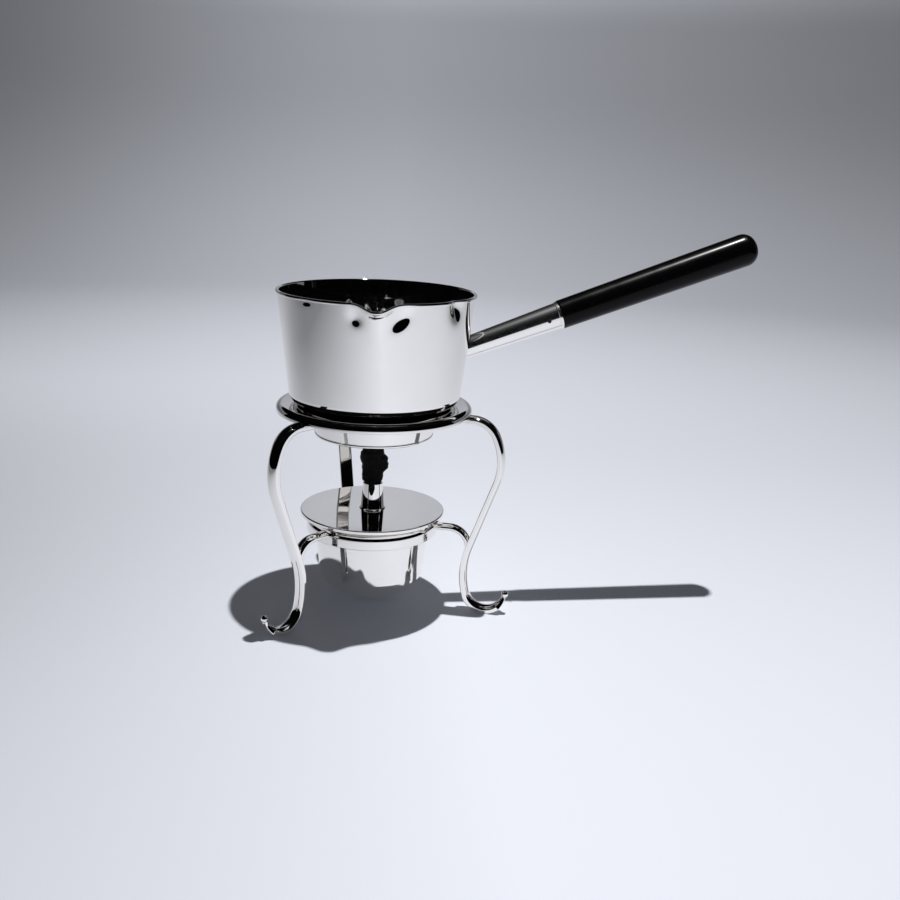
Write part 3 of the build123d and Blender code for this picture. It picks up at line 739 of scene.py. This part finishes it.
TENON_FOOT, TENON_RADIUS = 31.8, 5.2
GRIP_END = SOCKET_LENGTH + 103.95
finished("black_handle_grip", laid_along(turned([
    (0, TENON_FOOT, 0), (TENON_RADIUS, TENON_FOOT, 0.3), (5.68, SOCKET_LENGTH, 0),
    (7.05, SOCKET_LENGTH + 0.05, 0.5), (8.15, GRIP_END, 6.4), (0, GRIP_END, 0),
], closed=False, steps=128), handle_root, handle_along, handle_across),
    GRIP_BLACK, "pan", "black_grip", "handle_grip")

PIN_RADIUS, PIN_HALF = 0.9, 6.9
PIN_PLACE = handle_root + handle_along * (SOCKET_LENGTH - 7.0)
in_silver("cross_pin", laid_along(turned([
    (0, -PIN_HALF, 0), (PIN_RADIUS, -PIN_HALF, 0.45), (PIN_RADIUS, PIN_HALF, 0.45),
    (0, PIN_HALF, 0),
], closed=False, steps=48), PIN_PLACE, handle_across, handle_along),
    "pan", "handle_pin", finish=DARK_PIN_FINISH)

# the plug under the lid keeps its own shape
hidden_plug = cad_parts["lid_plug"]
hidden_plug.data.materials.clear()
hidden_plug.data.materials.append(SILVER)

# --------------------------------------------------- ground, lamp and camera
PAPER_RADIUS, PAPER_HEIGHT, PAPER_SWEEP = 2300, 1700, 1000.0
SHADE_SHEET_RADIUS, SHADE_SHEET_TOP, SHADE_SHEET_PEAK = 1150, 2200, 2400
# runs of the dark sheet, painted shade for the dark room in reflections: where each begins,
# how far round it goes, and how high its lower hem hangs
SHADE_SHEET_RUNS = ((-212, 224, 0), (12, 136, 495))


def paper_ground():
    """Round floor that sweeps up into the backdrop."""
    bm = outline([(0, 0, 0), (PAPER_RADIUS, 0, PAPER_SWEEP), (PAPER_RADIUS, PAPER_HEIGHT, 0)],
                 closed=False, segments=40)
    spun(bm, 128)
    bmesh.ops.remove_doubles(bm, verts=bm.verts, dist=0.01)
    bmesh.ops.recalc_face_normals(bm, faces=bm.faces)
    if sum(f.normal.z for f in bm.faces) < 0:
        bmesh.ops.reverse_faces(bm, faces=bm.faces)
    mesh = in_metres("paper_ground", bm)
    mesh.shade_smooth()
    mesh.materials.append(paper_with_painted_light_and_shade())
    return set_out("paper_ground", mesh)


def dark_sheet_of_painted_shade():
    """Dark sheet of painted shade, hung round the camera's side and overhead,
    which only the polished metal sees: it stands in for the dark room."""
    bm = bmesh.new()
    for start, reach, hem in SHADE_SHEET_RUNS:
        hung = [bm.verts.new(corner) for corner in (
            (SHADE_SHEET_RADIUS, 0, hem), (SHADE_SHEET_RADIUS, 0, SHADE_SHEET_TOP), (0, 0, SHADE_SHEET_PEAK))]
        runs = [bm.edges.new(pair) for pair in zip(hung, hung[1:])]
        swung(bm, start, hung)
        bmesh.ops.spin(bm, geom=hung + runs, cent=(0, 0, 0), axis=UP,
                       angle=math.radians(reach), steps=48)
    mesh = in_metres("dark_sheet_of_painted_shade", bm)
    mesh.materials.append(dark_sheet_painted_shade_finish())
    shade_sheet = set_out("dark_sheet_of_painted_shade", mesh)
    # painted shade: the sheet shows only in reflections, never to the camera, to diffuse light or
    # in shadows
    shade_sheet.visible_camera = False
    shade_sheet.visible_diffuse = False
    shade_sheet.visible_shadow = False
    shade_sheet.visible_transmission = False
    return shade_sheet


paper_ground()
dark_sheet_of_painted_shade()

lamp = bpy.data.lights.new("studio_lamp", "POINT")
lamp.energy = 196.0
lamp.shadow_soft_size = 0.018
set_out("studio_lamp", lamp).location = (0.252, 0.073, 2.2)

room = bpy.data.worlds.new("dim_room")
room.use_nodes = True
room.node_tree.nodes["Background"].inputs["Color"].default_value = linear("#262729")
room.node_tree.nodes["Background"].inputs["Strength"].default_value = 0.1
bpy.context.scene.world = room

# the camera's place in metres, and which way its right and its top point
VIEWPOINT = (0, -0.49288, 0.21767)
VIEW_RIGHT = Vector((0.99707673, -0.06474697, 0.04056886))
VIEW_UP = Vector((-0.02150944, 0.27163014, 0.96216132))
lens = bpy.data.cameras.new("photograph_view")
lens.lens = 41.54
lens.sensor_width = 36.0
camera = set_out("photograph_view", lens)
camera.matrix_world = Matrix.Translation(VIEWPOINT) @ Matrix(
    (VIEW_RIGHT, VIEW_UP, VIEW_RIGHT.cross(VIEW_UP))).transposed().to_4x4()
bpy.context.scene.camera = camera
bpy.context.scene.view_settings.view_transform = "Standard"
